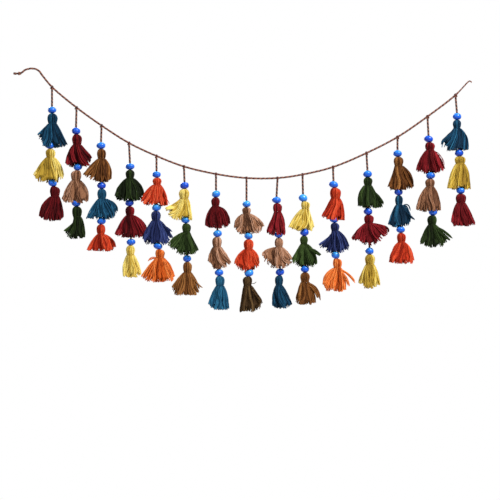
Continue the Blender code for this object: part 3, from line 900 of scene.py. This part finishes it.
@dataclass
class Tassel:
    """One wool tassel: yarn laid over a ball-shaped head, bound at the neck, and cut."""

    number: int
    tier: Tier
    hang: Hang
    section: bpy.types.Object
    head_strands: int = 30
    outer_strands: int = 28
    under_strands: int = 44
    end_strands: int = 56
    clumps: int = 14
    head_points: int = 8
    skirt_points: int = 10
    clump_sway: float = 3.2
    end_swing: float = 0.08
    bow: float = 0.8
    corner_pull: float = 0.45
    binding_turns: float = 2.0
    body_segments: int = 30
    body_rings: int = 15
    body_layer: float = 0.88
    body_end: float = 1.0

    def __post_init__(self) -> None:
        """Picks the tassel's wool, and how each of its clumps of yarn falls."""
        self.chance = random.Random(f"tassel {self.number} {self.tier.value}")
        self.wool = WOOLS[self.hang.lay.yarn]
        jitter = 0.3 * math.tau / self.clumps
        half = self.clumps // 2
        chance = self.chance
        self.clump_angles = [
            math.tau * i / self.clumps + chance.uniform(-jitter, jitter) * (i % half > 0)
            for i in range(self.clumps)
        ]
        self.clump_ends = [chance.uniform(-0.02, 0.025) for _ in range(self.clumps)]
        self.clump_tones = [chance.uniform(-0.38, 0.38) for _ in range(self.clumps)]
        self.clump_waves = [chance.uniform(0, math.tau) for _ in range(self.clumps)]
        self.clump_layers = [
            chance.uniform(-0.6, 0.05) * math.sin(angle) ** 2 for angle in self.clump_angles
        ]
        self.clump_swings = [
            chance.uniform(-1, 1) * (i % half > 0) for i in range(self.clumps)
        ]

    @property
    def node(self) -> str:
        """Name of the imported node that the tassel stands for."""
        return f"tassel_{self.number:02d}_{self.tier.value}"

    def nearest_clump(self, angle: float) -> int:
        """Finds the clump that a strand falls in with.

        Args:
            angle: the strand's place round the neck.

        Returns:
            The clump's number.
        """
        return min(
            range(self.clumps),
            key=lambda i: abs(math.remainder(angle - self.clump_angles[i], math.tau)),
        )

    def crowded(self, share: float) -> float:
        """Places a strand round the neck, crowded towards the two wide corners.

        Args:
            share: its place in an even row of strands, from 0 to 1.

        Returns:
            Its angle.
        """
        angle = math.tau * share
        return angle - self.corner_pull * math.sin(2 * angle) / 2

    def head_path(self, angle: float) -> list[Vector]:
        """Runs a strand from the top of the head over the ball to the neck.

        Args:
            angle: the strand's place round the head.

        Returns:
            Its points, in millimetres.
        """
        lean = self.chance.uniform(-0.14, 0.14)
        inset = STRAND_RADIUS - self.chance.uniform(-0.35, 0.3)
        points = []
        for i in range(self.head_points):
            share = i / (self.head_points - 1)
            points.append(self.hang.ball(angle + lean * share, share, inset))
        return points

    def skirt_path(
        self,
        angle: float,
        layer: float,
        start: float,
        end: float,
        count: int,
        gather: float = 0.28,
    ) -> list[Vector]:
        """Runs a strand down the skirt, falling in with its clump.

        Args:
            angle: the strand's place round the neck.
            layer: how far out it lies, from 0 in the middle to 1 at the surface.
            start: the share of the skirt's length at which it comes into sight.
            end: the share at which it is cut.
            count: how many points it has.
            gather: how far its clump draws it in, as a share of the way.

        Returns:
            Its points, in millimetres.
        """
        chance = self.chance
        clump = self.nearest_clump(angle)
        towards = math.remainder(self.clump_angles[clump] - angle, math.tau)
        phase = self.clump_waves[clump]
        own = chance.uniform(0, math.tau)
        curl = self.wool.curl
        pace = chance.uniform(0.9, 1.8)
        bead = self.hang.next_bead()
        covers = (self.number, self.tier) in COVERING
        points: list[Vector] = []
        for i in range(count):
            share = start + (end - start) * (i / (count - 1)) ** 0.9
            pull = gather * (0.3 + 0.7 * abs(math.sin(angle))) * smooth_step(0.05, 0.7, share)
            bow = self.bow * curl * gather * math.sin(math.pi * share)
            swing = self.clump_swings[clump] * (self.end_swing * share**2 + bow)
            sunk = 1 + self.clump_layers[clump] * smooth_step(0.1, 0.7, share)
            turned = self.hang.lay.sweep * (share - 1)
            around = angle + towards * pull + swing + turned
            point = self.hang.skirt(around, share, layer * sunk)
            wave = self.clump_sway * math.sin(phase + 5.5 * share)
            sway = share * (wave + 0.7 * curl * math.sin(own + pace * math.tau * share))
            surge = 0.6 * curl * share * math.cos(own + pace * math.tau * share)
            point.x += sway * abs(math.sin(angle)) + surge * math.cos(angle)
            point.y += sway * abs(math.cos(angle)) - surge * math.sin(angle)
            if bead and point.y < 0 and not covers:
                near = abs(point.x - bead.x) < BEAD_RADIUS - 1
                if near and point.z < bead.z + BEAD_HALF_HEIGHT + 0.5:
                    break
            points.append(point)
        return points

    def tone(self, angle: float) -> float:
        """Picks a strand's shade: its lock's random tone, darkened the deeper the lock is sunk as painted shade in the
        creases, and a random tone of its own.

        Args:
            angle: the strand's place round the neck.

        Returns:
            The shade, from 0 to 1.
        """
        clump = self.nearest_clump(angle)
        # Painted shade: a lock sunk deeper into the skirt is darkened, as the shade in the creases between locks.
        lock_tone_and_crease_shade = self.clump_tones[clump] + 0.9 * self.clump_layers[clump]
        return 0.63 + self.hang.lay.shade + lock_tone_and_crease_shade + self.chance.uniform(-0.26, 0.26)

    def cut(self, angle: float) -> float:
        """Picks where a strand is cut.

        Args:
            angle: the strand's place round the neck.

        Returns:
            The share of the skirt's length.
        """
        return 1.0 + self.clump_ends[self.nearest_clump(angle)] + self.chance.uniform(-0.02, 0.02)

    def lay_strand(self, bundle: YarnBundle, path: list[Vector], tone: float) -> None:
        """Lays one strand of the skirt, which opens towards its cut end.

        Args:
            bundle: what it is laid into.
            path: its points, in millimetres.
            tone: its shade.
        """
        if len(path) < 3:
            return
        thick = STRAND_RADIUS * self.chance.uniform(0.9, 1.1)
        radii = [thick * (0.85 + 0.3 * i / (len(path) - 1)) for i in range(len(path))]
        radii[-1] *= 0.85
        bundle.lay(path, radii, tone, start=self.chance.uniform(0, 6))

    def lay_head_strands(self, bundle: YarnBundle) -> None:
        """Lays the strands that cover the head and go on down the skirt's outside.

        Args:
            bundle: what they are laid into.
        """
        for i in range(self.head_strands):
            angle = math.tau * (i + self.chance.uniform(-0.15, 0.15)) / self.head_strands
            head = self.head_path(angle - self.hang.lay.sweep)
            skirt = self.skirt_path(angle, 1.0, 0.0, self.cut(angle), self.skirt_points)[1:]
            radii = []
            for k in range(self.head_points):
                share = k / (self.head_points - 1)
                radii.append(STRAND_RADIUS * (0.5 + 0.6 * math.sin(math.pi * share) ** 0.7))
            radii += [STRAND_RADIUS * (0.95 + 0.2 * k / len(skirt)) for k in range(len(skirt))]
            radii[-1] *= 0.7
            tone = self.tone(angle)
            bundle.lay(head + skirt, radii, tone, start=self.chance.uniform(0, 6))

    def lay_skirt_strands(self, bundle: YarnBundle) -> None:
        """Lays the strands that fill the skirt: more outside, a layer under, and its end. The under layer and the end
        strands are painted darker, as the shade inside the skirt.

        Args:
            bundle: what they are laid into.
        """
        chance = self.chance
        for i in range(self.outer_strands):
            angle = self.crowded((i + chance.uniform(0.2, 0.8)) / self.outer_strands)
            path = self.skirt_path(angle, 1.0, 0.04, self.cut(angle), self.skirt_points)
            self.lay_strand(bundle, path, self.tone(angle) + 0.04)
        for i in range(self.under_strands):
            angle = self.crowded((i + chance.uniform(0.2, 0.8)) / self.under_strands)
            depth = chance.uniform(0.82, 0.95)
            end = self.cut(angle)
            path = self.skirt_path(angle, depth, 0.04, end, self.skirt_points, 0.1)
            # Painted shade: the under layer is darkened as the shade beneath the outer strands.
            self.lay_strand(bundle, path, self.tone(angle) - 0.12)
        for _ in range(self.end_strands):
            angle = self.crowded(chance.random())
            depth = 0.9 * math.sqrt(chance.uniform(0.05, 1))
            path = self.skirt_path(angle, depth, 0.62, self.cut(angle) - 0.02, 5, 0.1)
            # Painted shade: the end strands inside the skirt are darkened likewise.
            self.lay_strand(bundle, path, self.tone(angle) - 0.15)

    def lay_binding(self, bundle: YarnBundle) -> None:
        """Winds yarn round the neck, sunk into the strands that it draws in.

        Args:
            bundle: what it is laid into.
        """
        neck = self.hang.below_bead(self.hang.lay.neck)
        middle = self.hang.below_bead(HEAD_BELOW_BEAD).x
        radius = self.hang.lay.head * self.hang.neck_share - 0.55
        steps = round(14 * self.binding_turns)
        points = []
        for i in range(steps + 1):
            angle = math.tau * self.binding_turns * i / steps
            height = neck.z + 1.4 - 2.8 * i / steps
            points.append(
                Vector((middle + radius * math.cos(angle), radius * math.sin(angle), height))
            )
        bundle.lay(points, [0.7] * len(points), 0.35)

    def lay_loose_yarn(self, bundle: YarnBundle) -> None:
        """Lays the yarn that has sprung out of the skirt.

        Args:
            bundle: what it is laid into.
        """
        neck = self.hang.below_bead(self.hang.lay.neck)
        neck.x = self.hang.below_bead(HEAD_BELOW_BEAD).x
        chance = self.chance
        shade = 0.5 + self.hang.lay.shade
        steps = 12
        for loose in LOOSE_YARN.get((self.number, self.tier), ()):
            places = [
                neck + Vector((across, -4, -down))
                for across, down in (loose.start, loose.bend, loose.tip)
            ]
            for i in range(loose.strands):
                single = loose.strands == 1
                around = i * math.radians(137.5)
                apart = 0 if single else loose.spread * math.sqrt((i + 0.5) / loose.strands)
                end = 1 - chance.uniform(0, 0.14) * (not single)
                wave = chance.uniform(0, 6)
                points = []
                for k in range(steps):
                    share = end * k / (steps - 1)
                    along = quadratic(*places, share + 0.02) - quadratic(*places, share)
                    side = along.cross(Vector((0, 1, 0))).normalized()
                    opened = apart * (0.45 + 0.55 * math.sin(math.pi * share))
                    points.append(
                        quadratic(*places, share)
                        + side * (opened * math.cos(around))
                        + Vector((
                            0.4 * self.wool.curl * math.sin(wave + 7 * share),
                            opened * math.sin(around),
                            0.4 * self.wool.curl * math.cos(wave + 8 * share),
                        ))
                    )
                radii = [STRAND_RADIUS * (0.75 if single else 1.0)] * steps
                radii[-1] *= 0.6
                bundle.lay(points, radii, shade + chance.uniform(-0.15, 0.15))

    def body_place(self, around: float, fall: float) -> Vector:
        """Places a point of the tassel's body, which backs the strands.

        Args:
            around: how far round, from the right-hand side by way of the back.
            fall: how far down, from 0 at the head's top to 1 in the middle of its end.

        Returns:
            The point, in millimetres.
        """
        hang = self.hang
        if fall < 0.4:
            return hang.ball(-around, fall / 0.4, 1.6 * STRAND_RADIUS)
        share = (fall - 0.4) / 0.6
        if share > 0.99:
            return hang.skirt(0, 0.7, 0)
        clump = self.nearest_clump(-around - hang.lay.sweep * (share - 1))
        layer = self.body_layer + self.clump_layers[clump] * smooth_step(0.1, 0.7, share)
        layer = min(layer, 0.95 - 0.35 * smooth_step(0, 0.15, 0.15 - share))
        end = self.body_end + self.clump_ends[clump]
        bead = hang.next_bead()
        point = hang.skirt(-around, share * end, layer)
        if bead and abs(point.x - bead.x) < BEAD_RADIUS + 2:
            point.z = max(point.z, bead.z + BEAD_HALF_HEIGHT + 0.6)
        return point

    def make_body(self) -> bpy.types.Object:
        """Makes the mass of yarn inside the head and the skirt, which backs the strands. It is painted darker than the
        strands, as the shade in the gaps between them.

        Returns:
            The body, closed.
        """
        bpy.ops.object.select_all(action="DESELECT")
        bpy.ops.mesh.primitive_uv_sphere_add(
            segments=self.body_segments, ring_count=self.body_rings, radius=1.0
        )
        body = bpy.context.object
        with editing(body):
            mesh = bmesh.from_edit_mesh(body.data)
            for vertex in mesh.verts:
                around = math.atan2(vertex.co.y, vertex.co.x)
                fall = math.acos(max(-1.0, min(1.0, vertex.co.z))) / math.pi
                vertex.co = self.body_place(around, fall) * MM
            bmesh.update_edit_mesh(body.data)
            bpy.ops.mesh.select_all(action="SELECT")
            bpy.ops.mesh.normals_make_consistent(inside=False)
        bpy.ops.object.shade_smooth()
        # Painted shade: the body's tone sits well below the strands', so gaps between strands show dark.
        attribute = body.data.attributes.new("tone", "FLOAT", "POINT")
        attribute.data.foreach_set("value", [0.34 + 0.9 * self.hang.lay.shade] * len(body.data.vertices))
        body.data.materials.append(self.wool.material())
        return body

    def build(self) -> bpy.types.Object:
        """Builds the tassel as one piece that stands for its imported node.

        Returns:
            The piece.
        """
        bundle = YarnBundle(self.node + "_wool", self.section)
        self.lay_head_strands(bundle)
        self.lay_skirt_strands(bundle)
        self.lay_binding(bundle)
        self.lay_loose_yarn(bundle)
        piece = bundle.make(self.wool.material())
        join([piece, self.make_body()])
        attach(piece, BODY)
        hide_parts(self.node)
        return piece


@dataclass
class BeadMould:
    """The plain bead that every bead on the strings starts from."""

    hole_radius: float = 2.9
    rim_rounding: float = 0.7
    segments: int = 28
    rings: int = 14

    def make(self) -> bpy.types.Object:
        """Models the bead at the origin: a flattened ball with a bored, rounded hole.

        Returns:
            The bead.
        """
        bpy.ops.object.select_all(action="DESELECT")
        bpy.ops.mesh.primitive_uv_sphere_add(
            segments=self.segments, ring_count=self.rings, radius=BEAD_RADIUS * MM
        )
        bead = bpy.context.object
        bead.name = "bead_mould"
        with editing(bead):
            bpy.ops.mesh.select_all(action="SELECT")
            bpy.ops.transform.resize(value=(1, 1, BEAD_HALF_HEIGHT / BEAD_RADIUS))
            bpy.ops.mesh.select_all(action="DESELECT")
            mesh = bmesh.from_edit_mesh(bead.data)
            half = BEAD_HALF_HEIGHT * MM
            for vertex in mesh.verts:
                level = min(1.0, abs(vertex.co.z) / half)
                vertex.co.z = math.copysign(half * level**0.9, vertex.co.z)
            for face in mesh.faces:
                middle = face.calc_center_median()
                face.select_set(math.hypot(middle.x, middle.y) < 0.5 * self.hole_radius * MM)
            bmesh.update_edit_mesh(bead.data)
            bpy.ops.mesh.delete(type="FACE")
            select_edges(bead, lambda edge: edge.is_boundary)
            bpy.ops.mesh.bridge_edge_loops()
            bpy.ops.mesh.select_all(action="DESELECT")
            select_edges(bead, self.on_rim)
            bpy.ops.mesh.bevel(offset=self.rim_rounding * MM, segments=2, profile=0.5)
            bpy.ops.mesh.select_all(action="SELECT")
            bpy.ops.mesh.normals_make_consistent(inside=False)
        bpy.ops.object.shade_smooth()
        bead.data.materials.append(GLAZE.material())
        return bead

    def on_rim(self, edge: bmesh.types.BMEdge) -> bool:
        """Tells whether an edge runs round the mouth of the hole."""
        ends = [math.hypot(v.co.x, v.co.y) for v in edge.verts]
        level = abs(edge.verts[0].co.z - edge.verts[1].co.z) < 0.1 * MM
        return level and max(ends) < 0.8 * self.hole_radius * MM


@dataclass
class Bead:
    """One glazed clay bead, rolled by hand and so a little uneven."""

    number: int
    tier: Tier
    hang: Hang
    mould: bpy.types.Object
    unevenness: float = 0.2

    def build(self) -> bpy.types.Object:
        """Copies the mould, and gives the copy its own size, tilt and shade, with painted light making it paler
        towards its top.

        Returns:
            The piece.
        """
        chance = random.Random(f"bead {self.number} {self.tier.value}")
        bead = self.mould.copy()
        bead.data = self.mould.data.copy()
        bead.name = f"bead_{self.number:02d}_{self.tier.value}"
        bead.data.name = bead.name
        bpy.context.scene.collection.objects.link(bead)
        centre = self.hang.bead_centre()
        wide = chance.uniform(1.0, 1.09)
        high = chance.uniform(1.06, 1.16)
        lean = -self.hang.lay.lean / HEAD_BELOW_BEAD + chance.uniform(-0.06, 0.06)
        phases = [chance.uniform(0, math.tau) for _ in range(3)]
        attribute = bead.data.attributes.new("tone", "FLOAT", "POINT")
        shade = self.hang.lay.glaze.value + chance.uniform(-0.05, 0.05)
        for vertex, tone in zip(bead.data.vertices, attribute.data):
            x, y, z = vertex.co
            around = math.atan2(y, x)
            level = z / (BEAD_HALF_HEIGHT * MM)
            lump = wide * (
                1
                + self.unevenness
                / BEAD_RADIUS
                * (
                    math.sin(2 * around + phases[0])
                    + 0.6 * math.sin(3 * around + phases[1] + 2 * level)
                    + 0.8 * math.sin(around + phases[2] + 3 * level)
                )
            )
            x, y, z = x * lump, y * lump, z * high
            vertex.co = Vector((x - lean * z, y, z + lean * x)) + centre * MM
            # Painted light: the tone rises with height, so the bead's top is paler as if lit from above.
            tone.value = 0.45 + 0.3 * level + shade
        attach(bead, BODY)
        return bead


@dataclass
class TwistedCord:
    """Cord of three yarns twisted together, along a line that stays in the cord plane."""

    name: str
    line: list[Vector]
    section: bpy.types.Object
    pitch: float = 9.0
    yarn_radius: float = 1.28
    yarn_offset: float = 0.95
    rings_per_turn: int = 7
    tones: tuple[float, ...] = (0.16, 0.46, 0.76)
    thin_end: float = 0.0

    def centres(self) -> list[Vector]:
        """Points along the line at even steps, in millimetres."""
        return evenly(self.line, self.pitch / self.rings_per_turn)

    def length(self) -> float:
        """Length of the line, in millimetres."""
        return sum((b - a).length for a, b in zip(self.line, self.line[1:]))

    def build(self) -> bpy.types.Object:
        """Twists the yarns along the line.

        Returns:
            The cord, as one closed mesh.
        """
        centres = self.centres()
        bundle = YarnBundle(self.name, self.section)
        depth = Vector((0, 1, 0))
        step = self.pitch / self.rings_per_turn
        fullness = [
            0.74 + 0.26 * smooth_step(0.75, 1.0, i * step / self.thin_end) if self.thin_end else 1.0
            for i in range(len(centres))
        ]
        for k, tone in enumerate(self.tones):
            points = []
            for i, centre in enumerate(centres):
                along = centres[min(i + 1, len(centres) - 1)] - centres[max(i - 1, 0)]
                side = along.cross(depth).normalized()
                turned = math.tau * (i / self.rings_per_turn + k / len(self.tones))
                offset = self.yarn_offset * fullness[i]
                points.append(
                    centre + side * offset * math.cos(turned) + depth * offset * math.sin(turned)
                )
            radii = [self.yarn_radius * share for share in fullness]
            radii[0] *= 0.8
            radii[-1] *= 0.8
            bundle.lay(points, radii, tone, twist=0.0)
        return bundle.make(CORD.material())


@dataclass
class TiedLoop:
    """The knot that ties a string to the main cord: two turns round it, and a small lump."""

    number: int
    place: Vector
    along: Vector
    section: bpy.types.Object
    tone: float
    turns: int = 2
    wrap_radius: float = 2.5
    yarn_radius: float = 0.95

    def build(self) -> bpy.types.Object:
        """Winds the turns round the main cord and ties the lump below it.

        Returns:
            The piece.
        """
        bundle = YarnBundle(f"knot_{self.number:02d}", self.section)
        down = Vector((-self.along.z, 0, self.along.x))
        if down.z > 0:
            down = -down
        front = Vector((0, -1, 0))
        steps = 12
        for turn in range(self.turns):
            points = []
            shift = (turn - (self.turns - 1) / 2) * 1.8
            for i in range(steps + 3):
                angle = math.tau * (i - 1) / steps
                crossing = 0.5 * math.sin(angle)
                points.append(
                    self.place
                    + self.along * (shift + crossing)
                    + down * self.wrap_radius * math.cos(angle)
                    + front * self.wrap_radius * math.sin(angle)
                )
            tone = self.tone + 0.15 * turn
            bundle.lay(points, [self.yarn_radius] * len(points), tone, twist=0.0)
        lump = []
        for i in range(26):
            angle = math.tau * i / 11
            radius = 1.25 + 0.25 * math.sin(1.7 * angle)
            lump.append(
                self.place
                + down * (3.4 + 0.9 * math.sin(0.8 * angle))
                + self.along * radius * math.cos(angle)
                + front * (radius * math.sin(angle))
            )
        bundle.lay(lump, [0.8] * len(lump), self.tone, twist=0.0)
        piece = bundle.make(CORD.material())
        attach(piece, BODY)
        return piece


@dataclass
class EndKnot:
    """The overhand knot in the cord's left-hand tail, with the frayed ends past it."""

    place: Vector
    tip: Vector
    section: bpy.types.Object
    reach: float = 4.3
    fray: int = 16

    def build(self) -> bpy.types.Object:
        """Ties the knot and fans out its cut ends.

        Returns:
            The piece.
        """
        chance = random.Random("end knot")
        bundle = YarnBundle("end_knot", self.section)
        steps = 44
        size = (self.reach - 1.5) / 3
        centres = []
        for i in range(steps + 1):
            t = math.tau * i / steps
            centres.append(
                self.place
                + Vector((
                    (math.cos(t) + 2 * math.cos(2 * t)) * size,
                    math.sin(3 * t) * 1.5,
                    (math.sin(t) - 2 * math.sin(2 * t)) * size,
                ))
            )
        for k, tone in enumerate((0.08, 0.5, 0.86)):
            points = []
            for i, centre in enumerate(centres):
                along = centres[(i + 1) % steps] - centres[(i - 1) % steps]
                side = along.cross(Vector((0, 1, 0))).normalized()
                over = side.cross(along).normalized()
                turned = math.tau * (4 * i / steps + k / 3)
                points.append(centre + (side * math.cos(turned) + over * math.sin(turned)) * 0.75)
            bundle.lay(points, [0.72] * len(points), tone, twist=0.0)
        reach = self.tip - self.place
        for i in range(self.fray):
            fan = Vector((0, chance.uniform(-2.2, 2.2), chance.uniform(-3.0, 2.6)))
            root = Vector((-2.0, fan.y * 0.35, fan.z * 0.35))
            end = reach * chance.uniform(0.82, 1.0) + fan
            bend = reach * 0.6 + fan * 0.5 + Vector((0, 0, chance.uniform(-1.2, 1.2)))
            points = [self.place + quadratic(root, bend, end, k / 6) for k in range(7)]
            radii = [0.5, 0.5, 0.46, 0.42, 0.38, 0.34, 0.22]
            bundle.lay(points, radii, chance.choice((0.05, 0.15, 0.35, 0.6)), twist=0.0)
        piece = bundle.make(CORD.material())
        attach(piece, BODY)
        return piece


@dataclass
class MainCord:
    """The slack cord that carries the strings, from its right-hand end to its left tail."""

    section: bpy.types.Object
    node: str = "main_cord"
    steps_between: int = 8
    thin_end: float = 44.0

    def line(self) -> list[Vector]:
        """Lays the cord's line through its tail, the hanging points and every knot.

        Returns:
            Points in millimetres, from the right-hand end.
        """
        places = [*LEFT_TAIL, *((drop.x, drop.z) for drop in DROPS), *RIGHT_END]
        knots = [Vector((x, 0, z)) for x, z in reversed(places)]
        points = []
        for i in range(len(knots) - 1):
            before = knots[max(i - 1, 0)]
            after = knots[min(i + 2, len(knots) - 1)]
            for k in range(self.steps_between):
                share = k / self.steps_between
                points.append(between(before, knots[i], knots[i + 1], after, share))
        points.append(knots[-1])
        return points

    def build(self) -> bpy.types.Object:
        """Builds the cord with its knotted tail.

        Returns:
            The cord.
        """
        line = self.line()
        knot = EndKnot(Vector((-45, 0, 3)), Vector((-57, 0, 3)), self.section).build()
        cord = TwistedCord("cord_main", line, self.section, thin_end=self.thin_end)
        piece = cord.build()
        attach(piece, BODY)
        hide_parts(self.node)
        cord.length() * MM
        [point * MM for point in cord.centres()]
        return piece


@dataclass
class HangingString:
    """One string with its knot, three beads and three tassels."""

    number: int
    drop: Drop
    along: Vector
    mould: bpy.types.Object
    cord_section: bpy.types.Object
    wool_section: bpy.types.Object

    def hangs(self) -> list[Hang]:
        """Places of the string's tassels, from the top."""
        return [Hang(self.drop, lay) for lay in self.drop.tassels]

    def line(self) -> list[Vector]:
        """Runs the string from the main cord through the beads into the last head.

        Returns:
            Its corners, in millimetres.
        """
        points = [Vector((self.drop.x, 0, self.drop.z - 2.4))]
        for hang in self.hangs():
            points.append(hang.bead_centre() + Vector((0, 0, BEAD_HALF_HEIGHT)))
            points.append(hang.below_bead(NECK_BELOW_BEAD))
        points[-1] = self.hangs()[-1].below_bead(HEAD_BELOW_BEAD)
        return points

    def string(self) -> bpy.types.Object:
        """Twists the string.

        Returns:
            The string.
        """
        cord = TwistedCord(
            f"cord_string_{self.number:02d}",
            self.line(),
            self.cord_section,
            pitch=7.5,
            rings_per_turn=6,
            tones=(0.1, 0.28, 0.74),
            yarn_radius=1.4,
            yarn_offset=1.0,
        )
        piece = cord.build()
        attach(piece, BODY)
        if self.number < len(DROPS):
            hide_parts(f"string_{self.number:02d}")
        self.line()[0] * MM
        cord.length() * MM
        [point * MM for point in cord.centres()]
        return piece

    def build(self) -> None:
        """Builds the knot, the beads, the string and the tassels."""
        place = Vector((self.drop.x, 0, self.drop.z))
        tone = 0.1 if self.number < 4 else 0.26
        knot = TiedLoop(self.number, place, self.along, self.cord_section, tone).build()
        places = list(zip(Tier, self.hangs()))
        beads = [Bead(self.number, tier, hang, self.mould).build() for tier, hang in places]
        self.string()
        for tier, hang in places:
            Tassel(self.number, tier, hang, self.wool_section).build()
        log.info("string %02d: knot, 3 beads, 3 tassels", self.number)


@dataclass
class Studio:
    """The camera of the photograph, soft studio lights and a pale floor."""

    middle: tuple[float, float] = (0.416, -0.350)
    distance: float = 3.0
    lens: float = 108.0
    floor_drop: float = 1.1
    floor_radius: float = 1.3

    def add_camera(self) -> None:
        """Puts the camera face on to the middle of the photograph's frame."""
        data = bpy.data.cameras.new("camera")
        data.lens = self.lens
        camera = bpy.data.objects.new("camera", data)
        camera.location = (self.middle[0], -self.distance, self.middle[1])
        camera.rotation_euler = (math.pi / 2, 0, 0)
        bpy.context.scene.collection.objects.link(camera)
        bpy.context.scene.camera = camera

    def add_light(
        self, name: str, place: tuple[float, float, float], size: float, power: float
    ) -> None:
        """Hangs a square soft box that faces the garland.

        Args:
            name: the light's name.
            place: where it hangs, in metres.
            size: its side, in metres.
            power: its power, in watts.
        """
        data = bpy.data.lights.new(name, "AREA")
        data.size = size
        data.energy = power
        light = bpy.data.objects.new(name, data)
        light.location = place
        target = Vector((self.middle[0], 0, self.middle[1]))
        light.rotation_euler = (target - Vector(place)).to_track_quat("-Z", "Y").to_euler()
        bpy.context.scene.collection.objects.link(light)

    def add_surround(self, light: float = 0.3) -> None:
        """Surrounds everything with white, which lights softly and shows plain white.

        Args:
            light: how strongly it lights.
        """
        world = bpy.data.worlds.new("studio_white")
        world.use_nodes = True
        tree = world.node_tree
        tree.nodes.clear()
        seen = add_node(tree, "ShaderNodeLightPath").outputs["Is Camera Ray"]
        soft = add_node(tree, "ShaderNodeBackground", {"Strength": light})
        plain = add_node(tree, "ShaderNodeBackground", {"Color": (1, 1, 1, 1)})
        soft.inputs["Color"].default_value = (1, 1, 1, 1)
        mix = add_node(
            tree,
            "ShaderNodeMixShader",
            {0: seen, 1: soft.outputs["Background"], 2: plain.outputs["Background"]},
        )
        add_node(tree, "ShaderNodeOutputWorld", {"Surface": mix.outputs["Shader"]})
        bpy.context.scene.world = world

    def add_floor(self) -> None:
        """Lays a pale painted floor under the garland, below the photograph's frame."""
        bpy.ops.object.select_all(action="DESELECT")
        bpy.ops.mesh.primitive_circle_add(
            vertices=64,
            radius=self.floor_radius,
            fill_type="NGON",
            location=(self.middle[0], 0, -self.floor_drop),
        )
        floor = bpy.context.object
        floor.name = "floor"
        material, _, shader = new_material("pale_floor")
        shader.inputs["Base Color"].default_value = linear_colour("EFEDE8")
        shader.inputs["Roughness"].default_value = 0.8
        floor.data.materials.append(material)

    def build(self) -> None:
        """Builds the studio."""
        self.add_camera()
        self.add_light("key", (1.9, -1.4, 1.6), 0.6, 97)
        self.add_light("fill", (-1.6, -2.2, 0.3), 1.6, 10)
        self.add_light("back", (-0.4, 2.6, 0.9), 2.0, 60)
        self.add_surround()
        self.add_floor()
        bpy.context.scene.view_settings.view_transform = "Standard"


def evenly(line: Sequence[Vector], step: float) -> list[Vector]:
    """Walks along a line in even steps.

    Args:
        line: the line's corners.
        step: about how long a step is.

    Returns:
        Points from the line's start to its end.
    """
    lengths = [(b - a).length for a, b in zip(line, line[1:])]
    total = sum(lengths)
    count = max(2, round(total / step))
    points = []
    leg = 0
    behind = 0.0
    for i in range(count + 1):
        walked = total * i / count
        while leg < len(lengths) - 1 and walked > behind + lengths[leg]:
            behind += lengths[leg]
            leg += 1
        points.append(line[leg].lerp(line[leg + 1], (walked - behind) / lengths[leg]))
    return points


def main() -> None:
    """Builds the garland and its studio."""
    logging.basicConfig(level=logging.INFO, format="%(name)s: %(message)s")
    Studio().build()
    cord_section = strand_section("cord_yarn_section", 6, 2, 0.08)
    wool_section = strand_section("wool_yarn_section", 5, 2, 0.12)
    main_cord = MainCord(cord_section)
    main_cord.build()
    log.info("main cord laid")
    mould = BeadMould().make()
    places = [LEFT_TAIL[-1], *((drop.x, drop.z) for drop in DROPS), RIGHT_END[0]]
    for i, drop in enumerate(DROPS):
        before, after = places[i], places[i + 2]
        along = Vector((after[0] - before[0], 0, after[1] - before[1])).normalized()
        HangingString(i + 1, drop, along, mould, cord_section, wool_section).build()
    for helper in (mould, cord_section, wool_section):
        bpy.data.objects.remove(helper)


if __name__ == "__main__":
    main()
